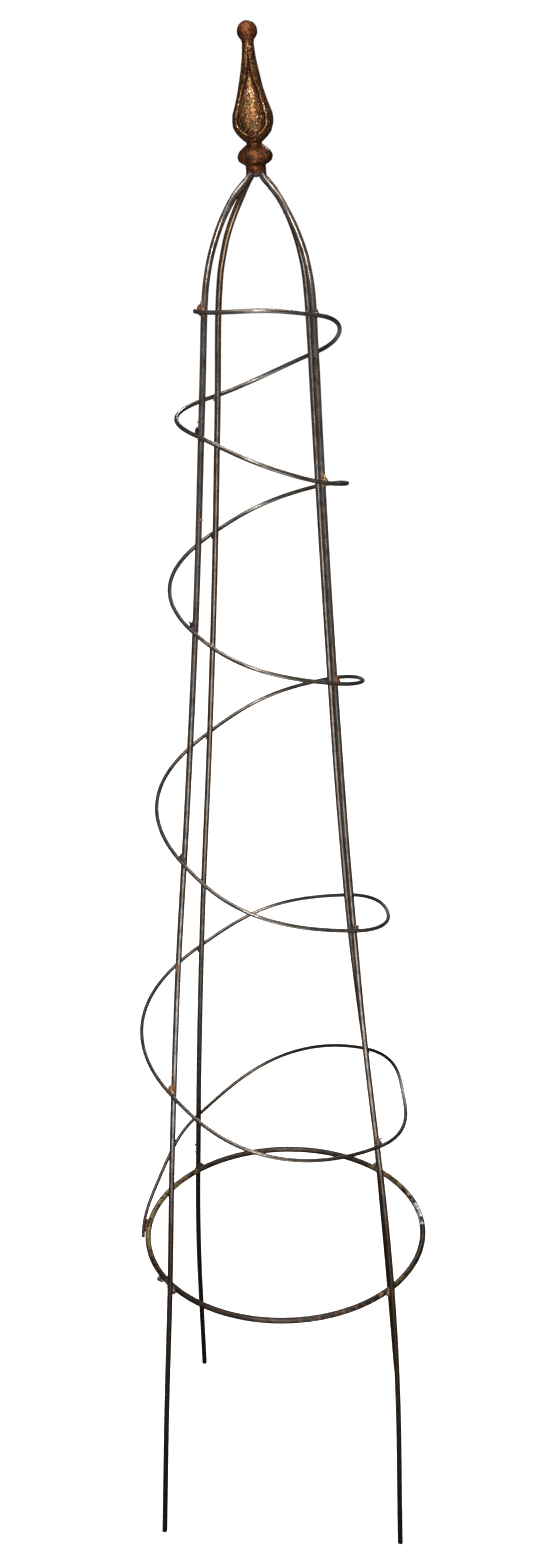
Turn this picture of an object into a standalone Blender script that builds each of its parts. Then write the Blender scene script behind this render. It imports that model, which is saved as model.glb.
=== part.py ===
"""Garden obelisk: four bent rods, a base ring, a wire spiral, weld beads and a cast finial.

Units are metres and +Z is up. The obelisk stands on its rod ends at Z = 0, its front faces -Y, and
the origin is on the ground below the middle of its bounding box.
"""

import math

import bmesh
import bpy
from mathutils import Vector

# Driving dimensions
RING_RADIUS = 0.152        # centre line of the base ring
RING_HEIGHT = 0.3175       # centre line of the base ring above the ground
LEG_ROD = 0.006            # diameters of the three round stocks
RING_WIRE = 0.0065
SPIRAL_WIRE = 0.004
SOCKET_MOUTH = 1.443       # height of the finial's open lower end
SOCKET_DEPTH = 0.014       # how far the rods reach up inside it
GAP = 0.0003               # clearance between pieces that touch
SLICES = 8                 # sides of a round wire

# Derived sizes
RING_CONTACT = RING_RADIUS + (RING_WIRE + LEG_ROD) / 2 + GAP    # rods run outside the ring
SPIRAL_OFFSET = (SPIRAL_WIRE + LEG_ROD) / 2 + GAP               # the spiral runs outside the rods
SPIRAL_RING_RADIUS = RING_RADIUS + (RING_WIRE + SPIRAL_WIRE) / 2 + GAP
BUNDLE_RADIUS = 0.0046     # rod centres inside the socket
LEG_TOP = SOCKET_MOUTH + SOCKET_DEPTH
ARCH_HEIGHT = 1.300        # where the arch springs from the long taper

# The rods were bent and spaced by eye, so each wanders round the axis in its own way. These are
# its compass angles, in degrees, from the foot up to the bundle inside the socket.
AZIMUTH_HEIGHTS = (0.0, RING_HEIGHT, 0.700, 1.220, ARCH_HEIGHT, 1.380, 1.428, LEG_TOP - 0.006)
LEG_AZIMUTHS = {
    "leg_front_left": (219.5, 218.5, 218.5, 221.3, 221.8, 221.8, 222.9, 223.0),
    "leg_front_right": (309.0, 314.5, 308.5, 313.7, 315.6, 315.6, 311.4, 314.0),
    "leg_back_right": (45.0, 46.0, 53.5, 48.7, 48.3, 48.3, 53.0, 46.0),
    "leg_back_left": (124.5, 129.0, 128.0, 125.1, 124.4, 124.4, 117.1, 133.0),
}

# Height and distance from the axis of a rod's centre line: flared foot, long taper, pointed arch.
LEG_PROFILE = (
    (0.000, 0.1870),
    (0.150, 0.1740),
    (RING_HEIGHT, RING_CONTACT),
    (0.465, 0.1475),
    (0.660, 0.1300),
    (0.870, 0.1060),
    (1.080, 0.0850),
    (1.230, 0.0730),
    (1.320, 0.0667),
    (1.350, 0.0630),
    (1.372, 0.0572),
    (1.388, 0.0509),
    (1.406, 0.0424),
    (1.424, 0.0289),
    (1.434, 0.0170),
    (SOCKET_MOUTH - 0.0045, 0.0103),
    (SOCKET_MOUTH, 0.0063),
    (SOCKET_MOUTH + 0.004, 0.0050),
    (SOCKET_MOUTH + 0.008, BUNDLE_RADIUS),
    (LEG_TOP, BUNDLE_RADIUS),
)
# No two arches were bent alike. This is how far each strays outwards from the profile, by height.
BEND_HEIGHTS = (0.0, 1.220, 1.300, 1.345, 1.385, 1.418, SOCKET_MOUTH)
LEG_BENDS = {
    "leg_front_left": (0.0, 0.0, -0.0005, 0.0, 0.0008, -0.0004, 0.0),
    "leg_front_right": (0.0, 0.0, -0.0013, 0.0004, 0.0013, 0.0005, 0.0),
    "leg_back_right": (0.0, 0.0, -0.0003, -0.0005, -0.0015, -0.0015, 0.0),
    "leg_back_left": (0.0, 0.0, 0.0011, -0.0004, -0.0029, -0.0030, 0.0),
}
# The whole crown sits a little to the right of the base
AXIS_DRIFT = ((0.0, 0.0), (1.150, 0.0), (1.400, 0.0008), (1.600, 0.0008))

# Height of the spiral at each leg it crosses, by quarter turns from the front left leg.
SPIRAL_PROFILE = (
    (0, 1.333),
    (0.5, 1.337),
    (1, 1.328),
    (2, 1.274),
    (3, 1.234),
    (4, 1.225),
    (5, 1.181),
    (6, 1.145),
    (8, 1.045),
    (10, 0.939),
    (12, 0.814),
    (14, 0.677),
    (16, 0.559),
    (17, 0.503),
    (18, 0.476),
    (19, 0.385),
    (19.6, RING_HEIGHT),
)
# The wire was bent by hand: between the legs it bulges in front and behind and runs flatter at the
# right. These are the bulges near the foot, in the order of the quarter turns. They shrink upwards.
SPIRAL_BULGES = (0.015, -0.022, 0.012, 0.003)
LAST_BULGE = -0.007        # where the wire dives to the base ring
SPIRAL_CROSSINGS = 20
SPIRAL_START = -0.06       # the wire's first end sticks out past the front left leg
SPIRAL_END = 19.6          # its other end lies against the base ring
SPIRAL_STEPS = 9           # straight lengths in a quarter turn

# Outline of the finial: height above the socket's mouth and radius, from the top down
BALL_RADIUS = 0.00875
BALL_CENTRE = 0.1151
FINIAL_OUTLINE = (
    (0.1060, 0.0051),
    (0.0960, 0.0059),
    (0.0890, 0.0070),
    (0.0790, 0.0089),
    (0.0700, 0.0111),
    (0.0600, 0.0140),
    (0.0530, 0.0164),
    (0.0480, 0.0180),
    (0.0440, 0.0183),
    (0.0400, 0.0180),
    (0.0350, 0.0161),
    (0.0310, 0.0133),
    (0.0275, 0.0098),
    (0.0245, 0.0067),
    (0.0215, 0.0098),
    (0.0180, 0.0136),
    (0.0140, 0.0154),
    (0.0105, 0.0146),
    (0.0082, 0.0122),
    (0.0060, 0.0089),
    (0.0000, 0.0088),
)
BORE_RADIUS = BUNDLE_RADIUS + LEG_ROD / 2 + GAP
BORE_DEPTH = SOCKET_DEPTH + 0.002
FINIAL_LEAN = math.radians(2.2)    # the casting was welded on leaning to the left
FINIAL_STEPS = 28
PANEL_COUNT = 3            # recessed leaf-shaped panels round the finial's body
PANEL_TURN = math.radians(-96)     # compass angle of the middle of the front panel
PANEL_DEPTH = 0.0011
PANEL_HALF_ANGLE = math.radians(47)
PANEL_TOP = 0.1035
PANEL_BOTTOM = 0.032

STEEL = (0.16, 0.12, 0.11, 1.0)
RUSTED_STEEL = (0.24, 0.14, 0.07, 1.0)
CAST_RUST = (0.31, 0.13, 0.06, 1.0)
WELD_METAL = (0.36, 0.20, 0.12, 1.0)

# Half sizes of the weld beads: along the seam, across it and upright
SPIRAL_BEAD = (0.0046, 0.0039, 0.0044)
RING_BEAD = (0.0060, 0.0050, 0.0050)
LONG_RING_BEAD = (0.0100, 0.0050, 0.0050)
END_BEAD = (0.0080, 0.0045, 0.0042)
END_BEAD_QUARTER = SPIRAL_END - 0.08
SOCKET_BEAD = (0.0042, 0.0040, 0.0028)
SOCKET_BEAD_RADIUS = 0.0090
SOCKET_BEAD_GAP = 0.0010

BALL_STEPS = 6
SHAFT_POINTS = 18          # points along a rod below and above the spring of the arch
ARCH_POINTS = 30
RING_POINTS = 72


def clear_scene():
    for item in list(bpy.data.objects):
        bpy.data.objects.remove(item, do_unlink=True)


def new_collection(name):
    collection = bpy.data.collections.new(name)
    bpy.context.scene.collection.children.link(collection)
    return collection


def material(name, colour, roughness, metallic):
    made = bpy.data.materials.new(name)
    made.use_nodes = True
    shader = made.node_tree.nodes["Principled BSDF"]
    shader.inputs["Base Color"].default_value = colour
    shader.inputs["Roughness"].default_value = roughness
    shader.inputs["Metallic"].default_value = metallic
    return made


def slopes_at(points):
    """Slope at each point of a smooth curve that never overshoots its points."""
    chords = [(b[1] - a[1]) / (b[0] - a[0]) for a, b in zip(points, points[1:])]
    slopes = [chords[0]]
    for before, after in zip(chords, chords[1:]):
        same_way = before * after > 0
        slopes.append(2 * before * after / (before + after) if same_way else 0.0)
    return slopes + [chords[-1]]


def smooth_value(points, x):
    """Height of the smooth curve through points, given as (x, value) in rising x."""
    slopes = slopes_at(points)
    x = min(max(x, points[0][0]), points[-1][0])
    index = max(i for i in range(len(points) - 1) if points[i][0] <= x)
    (x0, y0), (x1, y1) = points[index], points[index + 1]
    width = x1 - x0
    t = (x - x0) / width
    rise0, rise1 = slopes[index] * width, slopes[index + 1] * width
    return (
        (2 * t**3 - 3 * t**2 + 1) * y0
        + (t**3 - 2 * t**2 + t) * rise0
        + (3 * t**2 - 2 * t**3) * y1
        + (t**3 - t**2) * rise1
    )


def polar(radius, azimuth, height):
    """A place given round the obelisk's axis, which drifts to the right towards the crown."""
    drift = smooth_value(AXIS_DRIFT, height)
    return Vector((drift + radius * math.cos(azimuth), radius * math.sin(azimuth), height))


def leg_bend(name, height):
    return smooth_value(list(zip(BEND_HEIGHTS, LEG_BENDS[name])), height)


def even_steps(path, count):
    """Count points at equal distances along a finely sampled path."""
    lengths = [0.0]
    for a, b in zip(path, path[1:]):
        lengths.append(lengths[-1] + (b - a).length)
    points = []
    index = 0
    for step in range(count):
        wanted = lengths[-1] * step / (count - 1)
        while index < len(path) - 2 and lengths[index + 1] < wanted:
            index += 1
        share = (wanted - lengths[index]) / (lengths[index + 1] - lengths[index])
        points.append(path[index].lerp(path[index + 1], min(share, 1.0)))
    return points


def leg_azimuth(name, height):
    points = list(zip(AZIMUTH_HEIGHTS, LEG_AZIMUTHS[name]))
    return math.radians(smooth_value(points, height))


def leg_point(name, height):
    radius = smooth_value(LEG_PROFILE, height) + leg_bend(name, height)
    return polar(radius, leg_azimuth(name, height), height)


def leg_path(name):
    fine = [LEG_TOP * i / 2000 for i in range(2001)]
    places = [leg_point(name, z) for z in fine]
    shaft = even_steps([p for p in places if p.z <= ARCH_HEIGHT], SHAFT_POINTS)
    arch = even_steps([p for p in places if p.z >= ARCH_HEIGHT], ARCH_POINTS)
    below = shaft[0] + (shaft[0] - shaft[1]).normalized() * LEG_ROD
    return [below] + shaft + arch[1:]


def leg_name(quarter):
    return list(LEG_AZIMUTHS)[quarter % 4]


def running_azimuth(quarter, height):
    """Compass angle of the leg met at a whole quarter, counted on from turn to turn."""
    past_zero = 1 if quarter % 4 >= 2 else 0
    return leg_azimuth(leg_name(quarter), height) + 2 * math.pi * (quarter // 4 + past_zero)


def between_legs(value, quarter):
    """A value known where the spiral meets each leg, carried smoothly from leg to leg."""
    wholes = range(-1, SPIRAL_CROSSINGS + 1)
    corners = [(whole, value(whole, smooth_value(SPIRAL_PROFILE, whole))) for whole in wholes]
    return smooth_value(corners, quarter)


def spiral_azimuth(quarter):
    """Compass angle of the spiral, which meets one leg at every whole quarter."""
    return between_legs(running_azimuth, quarter)


def spiral_bend(quarter):
    return between_legs(lambda whole, height: leg_bend(leg_name(whole), height), quarter)


def spiral_point(quarter):
    height = smooth_value(SPIRAL_PROFILE, quarter)
    radius = smooth_value(LEG_PROFILE, height) + spiral_bend(quarter) + SPIRAL_OFFSET
    last = SPIRAL_CROSSINGS - 1
    if quarter > last:
        share = (quarter - last) / (SPIRAL_END - last)
        ease = share * share * (3 - 2 * share)
        radius += (SPIRAL_RING_RADIUS - radius) * ease
        radius += LAST_BULGE * math.sin(math.pi * share) ** 2
    else:
        between = math.sin(math.pi * (quarter % 1)) ** 2
        radius += SPIRAL_BULGES[int(quarter) % 4] * between * max(quarter / last, 0.0)
    return polar(radius, spiral_azimuth(quarter), height)


def spiral_path():
    whole = int(SPIRAL_END * SPIRAL_STEPS)
    quarters = [i / SPIRAL_STEPS for i in range(whole + 1)]
    return [spiral_point(q) for q in [SPIRAL_START] + quarters + [SPIRAL_END]]


def wire_object(name, path, diameter, finish, collection, closed=False):
    """A round wire along path, as a closed mesh."""
    curve = bpy.data.curves.new(name, "CURVE")
    curve.dimensions = "3D"
    curve.bevel_depth = diameter / 2
    curve.bevel_resolution = (SLICES - 4) // 2
    curve.use_fill_caps = not closed
    spline = curve.splines.new("POLY")
    spline.points.add(len(path) - 1)
    for point, place in zip(spline.points, path):
        point.co = (*place, 1.0)
    spline.use_cyclic_u = closed
    guide = bpy.data.objects.new(name + "_curve", curve)
    collection.objects.link(guide)
    bpy.context.view_layer.update()
    evaluated = guide.evaluated_get(bpy.context.evaluated_depsgraph_get())
    mesh = bpy.data.meshes.new_from_object(evaluated)
    mesh.name = name
    bpy.data.objects.remove(guide, do_unlink=True)
    bpy.data.curves.remove(curve)
    weld_points(mesh)
    mesh.materials.clear()
    mesh.materials.append(finish)
    wire = bpy.data.objects.new(name, mesh)
    collection.objects.link(wire)
    smooth_shade(wire)
    return wire


def weld_points(mesh):
    work = bmesh.new()
    work.from_mesh(mesh)
    bmesh.ops.remove_doubles(work, verts=work.verts, dist=0.00001)
    bmesh.ops.recalc_face_normals(work, faces=work.faces)
    work.to_mesh(mesh)
    work.free()


def smooth_shade(item):
    item.data.shade_smooth()
    item.data.set_sharp_from_angle(angle=math.radians(50))


def cut_level(item, height):
    """Removes what is below height and closes the cut with a flat face."""
    work = bmesh.new()
    work.from_mesh(item.data)
    everything = work.verts[:] + work.edges[:] + work.faces[:]
    bmesh.ops.bisect_plane(
        work, geom=everything, plane_co=(0, 0, height), plane_no=(0, 0, 1), clear_inner=True
    )
    rim = [edge for edge in work.edges if edge.is_boundary]
    bmesh.ops.contextual_create(work, geom=rim)
    bmesh.ops.recalc_face_normals(work, faces=work.faces)
    work.to_mesh(item.data)
    work.free()


def make_cutter(name, path, diameter, collection, closed=False):
    """A wire grown by the gap, which leaves clearance in whatever it cuts."""
    cutter = wire_object(name, path, diameter + 2 * GAP, None, collection, closed)
    cutter.hide_render = True
    cutter.display_type = "WIRE"
    return cutter


def subtract(item, cutter):
    cut = item.modifiers.new("cut_" + cutter.name, "BOOLEAN")
    cut.operation = "DIFFERENCE"
    cut.solver = "EXACT"
    cut.object = cutter


def build_leg(name, finish, parts):
    leg = wire_object(name, leg_path(name), LEG_ROD, finish, parts)
    cut_level(leg, 0.0)
    return leg


def ring_path():
    steps = range(RING_POINTS)
    return [polar(RING_RADIUS, 2 * math.pi * i / RING_POINTS, RING_HEIGHT) for i in steps]


def turned_points():
    """The finial's outline from the top of its ball down to the socket's mouth."""
    low = math.asin(FINIAL_OUTLINE[0][1] / BALL_RADIUS)
    points = []
    for i in range(BALL_STEPS + 1):
        angle = (math.pi - low) * i / BALL_STEPS
        points.append((BALL_CENTRE + BALL_RADIUS * math.cos(angle), BALL_RADIUS * math.sin(angle)))
    return points + list(FINIAL_OUTLINE[1:])


def turned_object(name, outline, finish, collection, steps):
    """A solid of revolution round Z. Outline is (height, radius) from the top down."""
    mesh = bpy.data.meshes.new(name)
    work = bmesh.new()
    chain = [work.verts.new((radius, 0.0, height)) for height, radius in outline]
    for a, b in zip(chain, chain[1:]):
        work.edges.new((a, b))
    work.to_mesh(mesh)
    work.free()
    mesh.materials.append(finish)
    item = bpy.data.objects.new(name, mesh)
    collection.objects.link(item)
    screw = item.modifiers.new("turn", "SCREW")
    screw.angle = 2 * math.pi
    screw.steps = steps
    screw.render_steps = steps
    screw.use_merge_vertices = True
    screw.merge_threshold = 0.00001
    screw.use_smooth_shade = True
    return item


def panel_cutter(index, collection):
    """A leaf-shaped block, curved like the finial's body, that recesses one panel into it."""
    azimuth = PANEL_TURN + 2 * math.pi * index / PANEL_COUNT
    outline = sorted(FINIAL_OUTLINE)
    rows, columns = 10, 7
    work = bmesh.new()
    loops = []
    for row in range(rows):
        share = row / (rows - 1)
        height = PANEL_TOP + (PANEL_BOTTOM - PANEL_TOP) * share
        radius = smooth_value(outline, height)
        leaf = math.sin(math.pi * share**1.8) ** 0.6 if 0 < share < 1 else 0.0
        half = PANEL_HALF_ANGLE * (0.12 + 0.88 * leaf)
        spread = [azimuth + half * (2 * k / (columns - 1) - 1) for k in range(columns)]
        inner = [polar(radius - PANEL_DEPTH, angle, height) for angle in spread]
        outer = [polar(radius + 0.004, angle, height) for angle in reversed(spread)]
        loops.append([work.verts.new(place) for place in inner + outer])
    for above, below in zip(loops, loops[1:]):
        for k in range(len(above)):
            after = (k + 1) % len(above)
            work.faces.new((above[k], above[after], below[after], below[k]))
    work.faces.new(loops[0])
    work.faces.new(loops[-1])
    bmesh.ops.recalc_face_normals(work, faces=work.faces)
    mesh = bpy.data.meshes.new("panel_cutter")
    work.to_mesh(mesh)
    work.free()
    cutter = bpy.data.objects.new(f"panel_cutter_{index}", mesh)
    collection.objects.link(cutter)
    cutter.hide_render = True
    cutter.display_type = "WIRE"
    return cutter


def lean(item):
    """Stands a piece of the finial on the socket's mouth, leaning to the left."""
    item.location = polar(0.0, 0.0, SOCKET_MOUTH)
    item.rotation_euler.y = -FINIAL_LEAN


def build_finial(finish, parts, cutters, leg_cutters):
    bore = [(0.0, BORE_RADIUS), (BORE_DEPTH, BORE_RADIUS), (BORE_DEPTH + 0.002, 0.0)]
    finial = turned_object("finial", turned_points() + bore, finish, parts, FINIAL_STEPS)
    lean(finial)
    for index in range(PANEL_COUNT):
        cutter = panel_cutter(index, cutters)
        lean(cutter)
        subtract(finial, cutter)
    for cutter in leg_cutters.values():
        subtract(finial, cutter)
    return finial


def bead_object(name, place, along, size, finish, parts):
    """A lump of weld metal: a flattened ball, its long axis along the given direction."""
    mesh = bpy.data.meshes.new(name)
    work = bmesh.new()
    bmesh.ops.create_uvsphere(work, u_segments=10, v_segments=6, radius=1.0)
    bmesh.ops.scale(work, vec=size, verts=work.verts)
    work.to_mesh(mesh)
    work.free()
    mesh.materials.append(finish)
    bead = bpy.data.objects.new(name, mesh)
    parts.objects.link(bead)
    bead.location = place
    bead.rotation_mode = "QUATERNION"
    bead.rotation_quaternion = along.to_track_quat("X", "Z")
    smooth_shade(bead)
    return bead


def build_spiral_beads(finish, parts, leg_cutters, spiral_cutter):
    """One bead where the spiral meets each leg, pressed into the corners between them."""
    for quarter in range(SPIRAL_CROSSINGS):
        place = spiral_point(quarter)
        inward = Vector((-place.x, -place.y, 0)).normalized()
        place = place + inward * (SPIRAL_WIRE / 2)
        along = spiral_point(quarter + 0.1) - spiral_point(quarter)
        name = f"spiral_weld_{quarter + 1:02d}"
        bead = bead_object(name, place, along, SPIRAL_BEAD, finish, parts)
        subtract(bead, leg_cutters[leg_name(quarter)])
        subtract(bead, spiral_cutter)


def build_ring_beads(finish, parts, leg_cutters, ring_cutter):
    for name in LEG_AZIMUTHS:
        azimuth = leg_azimuth(name, RING_HEIGHT)
        place = polar(RING_RADIUS + RING_WIRE / 2, azimuth, RING_HEIGHT)
        along = polar(1.0, azimuth + math.pi / 2, 0.0)
        size = LONG_RING_BEAD if name == "leg_front_left" else RING_BEAD
        bead = bead_object(name.replace("leg", "ring_weld"), place, along, size, finish, parts)
        subtract(bead, leg_cutters[name])
        subtract(bead, ring_cutter)


def build_end_bead(finish, parts, spiral_cutter, ring_cutter):
    """The weld that ties the spiral's lower end to the base ring."""
    azimuth = spiral_azimuth(END_BEAD_QUARTER)
    place = polar(RING_RADIUS + RING_WIRE / 2, azimuth, RING_HEIGHT)
    along = polar(1.0, azimuth + math.pi / 2, 0.0)
    bead = bead_object("spiral_end_weld", place, along, END_BEAD, finish, parts)
    subtract(bead, spiral_cutter)
    subtract(bead, ring_cutter)


def build_socket_beads(finish, parts, leg_cutters):
    """Four beads under the socket's mouth, one in each corner between two rods."""
    height = SOCKET_MOUTH - SOCKET_BEAD_GAP - SOCKET_BEAD[2]
    for quarter in range(len(LEG_AZIMUTHS)):
        left, right = running_azimuth(quarter, height), running_azimuth(quarter + 1, height)
        azimuth = (left + right) / 2
        place = polar(SOCKET_BEAD_RADIUS, azimuth, height)
        along = polar(1.0, azimuth + math.pi / 2, 0.0)
        name = f"socket_weld_{quarter + 1}"
        bead = bead_object(name, place, along, SOCKET_BEAD, finish, parts)
        subtract(bead, leg_cutters[leg_name(quarter)])
        subtract(bead, leg_cutters[leg_name(quarter + 1)])


def centre_on_origin(collections):
    """Moves everything so that the pieces' bounding box is centred on the Z axis."""
    bpy.context.view_layer.update()
    depsgraph = bpy.context.evaluated_depsgraph_get()
    places = []
    for item in collections[0].objects:
        evaluated = item.evaluated_get(depsgraph)
        places += [evaluated.matrix_world @ vertex.co for vertex in evaluated.data.vertices]
    base = bpy.data.objects.new("obelisk_base", None)
    bpy.context.scene.collection.objects.link(base)
    base.location.x = -(min(p.x for p in places) + max(p.x for p in places)) / 2
    base.location.y = -(min(p.y for p in places) + max(p.y for p in places)) / 2
    for collection in collections:
        for item in collection.objects:
            item.parent = base


def build():
    clear_scene()
    parts = new_collection("garden_obelisk")
    cutters = new_collection("cutters")
    steel = material("leg_steel", STEEL, 0.55, 0.6)
    rusted = material("ring_steel", RUSTED_STEEL, 0.7, 0.4)
    spiral_steel = material("spiral_steel", STEEL, 0.5, 0.6)
    casting = material("finial_casting", CAST_RUST, 0.75, 0.3)
    weld_metal = material("weld_metal", WELD_METAL, 0.6, 0.5)

    leg_cutters = {}
    for name in LEG_AZIMUTHS:
        build_leg(name, steel, parts)
        leg_cutters[name] = make_cutter(name + "_cutter", leg_path(name), LEG_ROD, cutters)
    wire_object("base_ring", ring_path(), RING_WIRE, rusted, parts, closed=True)
    wire_object("spiral_wire", spiral_path(), SPIRAL_WIRE, spiral_steel, parts)
    ring_cutter = make_cutter("ring_cutter", ring_path(), RING_WIRE, cutters, closed=True)
    spiral_cutter = make_cutter("spiral_cutter", spiral_path(), SPIRAL_WIRE, cutters)

    build_finial(casting, parts, cutters, leg_cutters)
    build_spiral_beads(weld_metal, parts, leg_cutters, spiral_cutter)
    build_ring_beads(weld_metal, parts, leg_cutters, ring_cutter)
    build_end_bead(weld_metal, parts, spiral_cutter, ring_cutter)
    build_socket_beads(weld_metal, parts, leg_cutters)
    centre_on_origin((parts, cutters))


build()
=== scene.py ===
"""Looks of the garden obelisk: four rods, a base ring, a wire spiral, their welds and a cast finial.

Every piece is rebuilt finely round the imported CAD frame. Units are metres, +Z is up, the front faces
-Y, and the obelisk's axis is taken from the frame's base ring.
"""

import math
import random

import bmesh
import bpy
from mathutils import Matrix, Vector, noise


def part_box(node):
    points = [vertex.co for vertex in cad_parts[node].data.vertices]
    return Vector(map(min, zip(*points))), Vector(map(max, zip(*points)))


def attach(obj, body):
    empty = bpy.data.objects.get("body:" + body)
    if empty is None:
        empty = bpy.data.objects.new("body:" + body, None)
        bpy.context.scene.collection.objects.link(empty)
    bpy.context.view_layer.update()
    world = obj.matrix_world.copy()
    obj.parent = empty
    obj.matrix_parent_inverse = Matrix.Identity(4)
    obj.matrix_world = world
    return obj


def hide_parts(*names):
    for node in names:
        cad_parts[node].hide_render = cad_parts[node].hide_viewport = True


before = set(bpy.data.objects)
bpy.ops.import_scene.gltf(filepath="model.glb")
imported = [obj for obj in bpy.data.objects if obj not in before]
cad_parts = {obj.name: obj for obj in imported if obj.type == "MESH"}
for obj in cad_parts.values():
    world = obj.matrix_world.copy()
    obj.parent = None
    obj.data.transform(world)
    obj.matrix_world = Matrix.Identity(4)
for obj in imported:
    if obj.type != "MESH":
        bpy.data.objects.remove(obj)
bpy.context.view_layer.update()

# The obelisk's driving dimensions, as in the CAD model
RING_RADIUS = 0.152
RING_HEIGHT = 0.3175
LEG_ROD = 0.006
RING_WIRE = 0.0065
SPIRAL_WIRE = 0.004
SOCKET_MOUTH = 1.443
SOCKET_DEPTH = 0.014
GAP = 0.0003
RING_CONTACT = RING_RADIUS + (RING_WIRE + LEG_ROD) / 2 + GAP
SPIRAL_OFFSET = (SPIRAL_WIRE + LEG_ROD) / 2 + GAP
SPIRAL_RING_RADIUS = RING_RADIUS + (RING_WIRE + SPIRAL_WIRE) / 2 + GAP
BUNDLE_RADIUS = 0.0046
LEG_TOP = SOCKET_MOUTH + SOCKET_DEPTH
ARCH_HEIGHT = 1.300

# Compass angles of each rod, in degrees, from the foot up to the bundle inside the socket
AZIMUTH_HEIGHTS = (0.0, RING_HEIGHT, 0.700, 1.220, ARCH_HEIGHT, 1.380, 1.428, LEG_TOP - 0.006)
LEG_AZIMUTHS = {
    "leg_front_left": (219.5, 218.5, 218.5, 221.3, 221.8, 221.8, 222.9, 223.0),
    "leg_front_right": (309.0, 314.5, 308.5, 313.7, 315.6, 315.6, 311.4, 314.0),
    "leg_back_right": (45.0, 46.0, 53.5, 48.7, 48.3, 48.3, 53.0, 46.0),
    "leg_back_left": (124.5, 129.0, 128.0, 125.1, 124.4, 124.4, 117.1, 133.0),
}

# Height and distance from the axis of a rod's centre line
LEG_PROFILE = (
    (0.000, 0.1870),
    (0.150, 0.1740),
    (RING_HEIGHT, RING_CONTACT),
    (0.465, 0.1475),
    (0.660, 0.1300),
    (0.870, 0.1060),
    (1.080, 0.0850),
    (1.230, 0.0730),
    (1.320, 0.0667),
    (1.350, 0.0630),
    (1.372, 0.0572),
    (1.388, 0.0509),
    (1.406, 0.0424),
    (1.424, 0.0289),
    (1.434, 0.0170),
    (SOCKET_MOUTH - 0.0045, 0.0103),
    (SOCKET_MOUTH, 0.0063),
    (SOCKET_MOUTH + 0.004, 0.0050),
    (SOCKET_MOUTH + 0.008, BUNDLE_RADIUS),
    (LEG_TOP, BUNDLE_RADIUS),
)
# No two arches were bent alike. This is how far each strays outwards from the profile, by height.
BEND_HEIGHTS = (0.0, 1.220, 1.300, 1.345, 1.385, 1.418, SOCKET_MOUTH)
LEG_BENDS = {
    "leg_front_left": (0.0, 0.0, -0.0005, 0.0, 0.0008, -0.0004, 0.0),
    "leg_front_right": (0.0, 0.0, -0.0013, 0.0004, 0.0013, 0.0005, 0.0),
    "leg_back_right": (0.0, 0.0, -0.0003, -0.0005, -0.0015, -0.0015, 0.0),
    "leg_back_left": (0.0, 0.0, 0.0011, -0.0004, -0.0029, -0.0030, 0.0),
}
# The whole crown sits a little to the right of the base
AXIS_DRIFT = ((0.0, 0.0), (1.150, 0.0), (1.400, 0.0008), (1.600, 0.0008))

# Height of the spiral at each leg it crosses, by quarter turns from the front left leg
SPIRAL_PROFILE = (
    (0, 1.333),
    (0.5, 1.337),
    (1, 1.328),
    (2, 1.274),
    (3, 1.234),
    (4, 1.225),
    (5, 1.181),
    (6, 1.145),
    (8, 1.045),
    (10, 0.939),
    (12, 0.814),
    (14, 0.677),
    (16, 0.559),
    (17, 0.503),
    (18, 0.476),
    (19, 0.385),
    (19.6, RING_HEIGHT),
)
SPIRAL_BULGES = (0.015, -0.022, 0.012, 0.003)
LAST_BULGE = -0.007
SPIRAL_CROSSINGS = 20
SPIRAL_START = -0.06
SPIRAL_END = 19.6

# The finial: height above the socket's mouth and radius, from the neck down
BALL_RADIUS = 0.00875
BALL_CENTRE = 0.1151
FINIAL_OUTLINE = (
    (0.1060, 0.0051),
    (0.0960, 0.0059),
    (0.0890, 0.0070),
    (0.0790, 0.0089),
    (0.0700, 0.0111),
    (0.0600, 0.0140),
    (0.0530, 0.0164),
    (0.0480, 0.0180),
    (0.0440, 0.0183),
    (0.0400, 0.0180),
    (0.0350, 0.0161),
    (0.0310, 0.0133),
    (0.0275, 0.0098),
    (0.0245, 0.0067),
    (0.0215, 0.0098),
    (0.0180, 0.0136),
    (0.0140, 0.0154),
    (0.0105, 0.0146),
    (0.0082, 0.0122),
    (0.0060, 0.0089),
    (0.0000, 0.0088),
)
BORE_RADIUS = BUNDLE_RADIUS + LEG_ROD / 2 + GAP
BORE_DEPTH = SOCKET_DEPTH + 0.002
FINIAL_LEAN = math.radians(2.2)

# Fineness of the shown meshes
ROD_STEP = 0.0030
WIRE_STEP = 0.0025
ROD_SIDES = 20
WIRE_SIDES = 14
FINIAL_COLUMNS = 168
WELD_VOXEL = 0.00042

# Camera, from the axis of the obelisk
LENS_MM = 44.3376
CAMERA_SIDE = 0.0030
CAMERA_DISTANCE = 1.7384
CAMERA_HEIGHT = 1.6416
CAMERA_PITCH = 0.4199
CAMERA_ROLL = -0.0286
CAMERA_YAW = -0.0023
SENSOR_MM = 36.0

RANDOM = random.Random(7)

ring_low, ring_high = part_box("base_ring")
AXIS = Vector(((ring_low.x + ring_high.x) / 2, (ring_low.y + ring_high.y) / 2, 0.0))


# ---------------------------------------------------------------- curves


def slopes_at(points):
    """Slope at each point of a smooth curve that never overshoots its points."""
    chords = [(b[1] - a[1]) / (b[0] - a[0]) for a, b in zip(points, points[1:])]
    slopes = [chords[0]]
    for before, after in zip(chords, chords[1:]):
        same_way = before * after > 0
        slopes.append(2 * before * after / (before + after) if same_way else 0.0)
    return slopes + [chords[-1]]


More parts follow.
